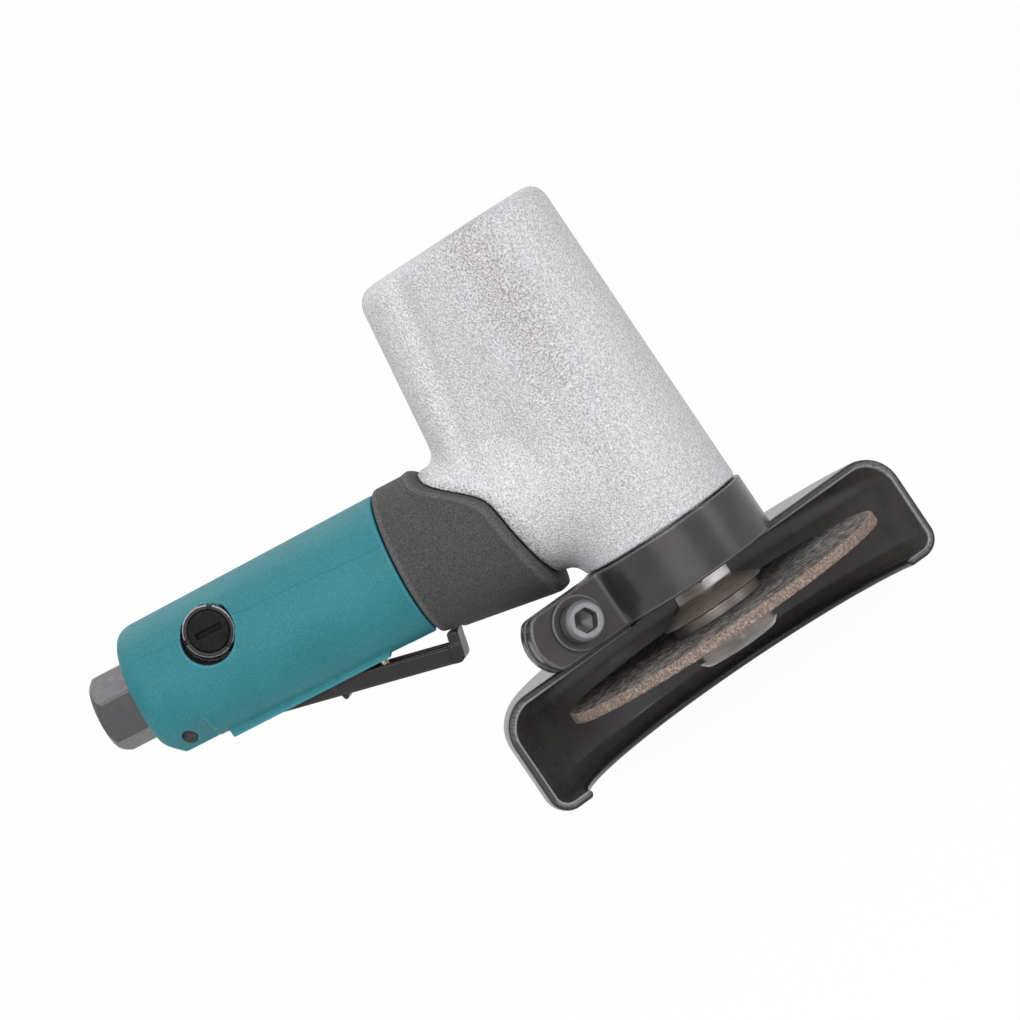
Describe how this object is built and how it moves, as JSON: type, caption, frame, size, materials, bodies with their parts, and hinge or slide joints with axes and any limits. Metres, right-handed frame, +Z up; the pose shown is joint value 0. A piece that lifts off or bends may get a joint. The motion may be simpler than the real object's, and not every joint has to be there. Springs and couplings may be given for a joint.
{
  "type": "pneumatic cut off tool",
  "caption": "Hand held air tool with an upright vane motor, a side handle with a squeeze throttle lever and a guarded abrasive cutting wheel on its spindle.",
  "frame": {"origin": "centre of the cutting wheel, on the spindle axis at half the wheel's thickness", "axes": "+Z up the spindle from the wheel to the motor, -X along the handle, +Y away from the side that the guard leaves open"},
  "size_m": [0.2221, 0.1206, 0.1521],
  "materials": {
    "cast_aluminium": "fine pebbled casting",
    "teal_plastic": "satin moulded composite",
    "grip_rubber": "matt moulded rubber",
    "dark_steel": "dark oxide",
    "black_steel": "black oxide, worn edges",
    "bright_steel": "turned and ground",
    "brass": "turned",
    "seal_rubber": "smooth",
    "black_plastic": "satin",
    "phenolic": "phenolic laminate",
    "abrasive": "resin bonded grit"
  },
  "bodies": {
    "tool_body": {"motor_housing": "cast_aluminium", "grip_collar": "grip_rubber", "handle": "teal_plastic", "neck_o_ring": "seal_rubber", "inlet_bushing": "dark_steel", "inlet_screen": "bright_steel", "exhaust_silencers": "brass", "regulator_pin": "bright_steel", "lever_pin": "bright_steel", "valve_seat": "brass", "valve_guide": "brass", "valve_o_ring": "seal_rubber", "valve_spring": "bright_steel", "nose_cap": "dark_steel", "shaft_seal": "seal_rubber", "front_bearing_outer": "bright_steel", "front_end_plate": "cast_aluminium", "motor_cylinder": "bright_steel", "cylinder_dowel": "bright_steel", "rear_end_plate": "cast_aluminium", "rear_bearing_outer": "bright_steel", "preload_washer": "bright_steel"},
    "spindle_group": {"spindle": "bright_steel", "drive_hub": "dark_steel", "inner_flange": "bright_steel", "cutting_wheel": "abrasive", "wheel_nut": "dark_steel", "rotor": "dark_steel", "vanes": "phenolic", "front_bearing_inner": "bright_steel", "rear_bearing_inner": "bright_steel"},
    "ball_sets": {"front_bearing_balls": "bright_steel", "rear_bearing_balls": "bright_steel"},
    "guard_group": {"wheel_guard": "black_steel", "guard_clamp": "black_steel", "clamp_washer": "black_steel"},
    "screw_body": {"clamp_screw": "dark_steel"},
    "lever_group": {"throttle_lever": "black_steel", "lock_pin": "bright_steel", "lock_spring": "bright_steel"},
    "latch_body": {"lock_latch": "black_steel"},
    "valve_body": {"throttle_valve": "brass"},
    "regulator_group": {"speed_regulator": "black_plastic", "regulator_ring": "black_steel", "regulator_o_ring": "seal_rubber"}
  },
  "joints": [
    {"name": "wheel_spin", "type": "hinge", "parent": "tool_body", "child": "spindle_group", "pos_m": [0, 0, 0], "axis": [0, 0, 1], "continuous": true},
    {"name": "ball_orbit", "type": "hinge", "parent": "tool_body", "child": "ball_sets", "pos_m": [0, 0, 0], "axis": [0, 0, 1], "continuous": true},
    {"name": "guard_turn", "type": "hinge", "parent": "tool_body", "child": "guard_group", "pos_m": [0, 0, 0], "axis": [0, 0, 1], "continuous": true},
    {"name": "clamp_screw_turn", "type": "hinge", "parent": "guard_group", "child": "screw_body", "pos_m": [-0.03355, -0.01784, 0.02245], "axis": [0.4695, -0.8829, 0], "range_deg": [0, 360]},
    {"name": "lever_press", "type": "hinge", "parent": "tool_body", "child": "lever_group", "pos_m": [-0.14275, 0, 0.05527], "axis": [0, -1, 0], "range_deg": [0, 4.3], "stiffness_Nm_per_rad": 2, "springref_deg": -5.73},
    {"name": "latch_fold", "type": "hinge", "parent": "lever_group", "child": "latch_body", "pos_m": [-0.10195, 0, 0.04385], "axis": [0, -1, 0], "range_deg": [0, 31]},
    {"name": "valve_lift", "type": "slide", "parent": "tool_body", "child": "valve_body", "axis": [0.108, 0, 0.9942], "range_m": [0, 0.0045], "deforming": ["valve_spring"]},
    {"name": "regulator_turn", "type": "hinge", "parent": "tool_body", "child": "regulator_group", "pos_m": [-0.12026, 0, 0.07707], "axis": [0, -1, 0], "range_deg": [0, 90]}
  ],
  "couplings": [
    {"joint": "ball_orbit", "follows": "wheel_spin", "ratio": 0.366},
    {"joint": "latch_fold", "follows": "lever_press", "ratio": 7},
    {"joint": "valve_lift", "follows": "lever_press", "m_per_rad": 0.0583}
  ]
}
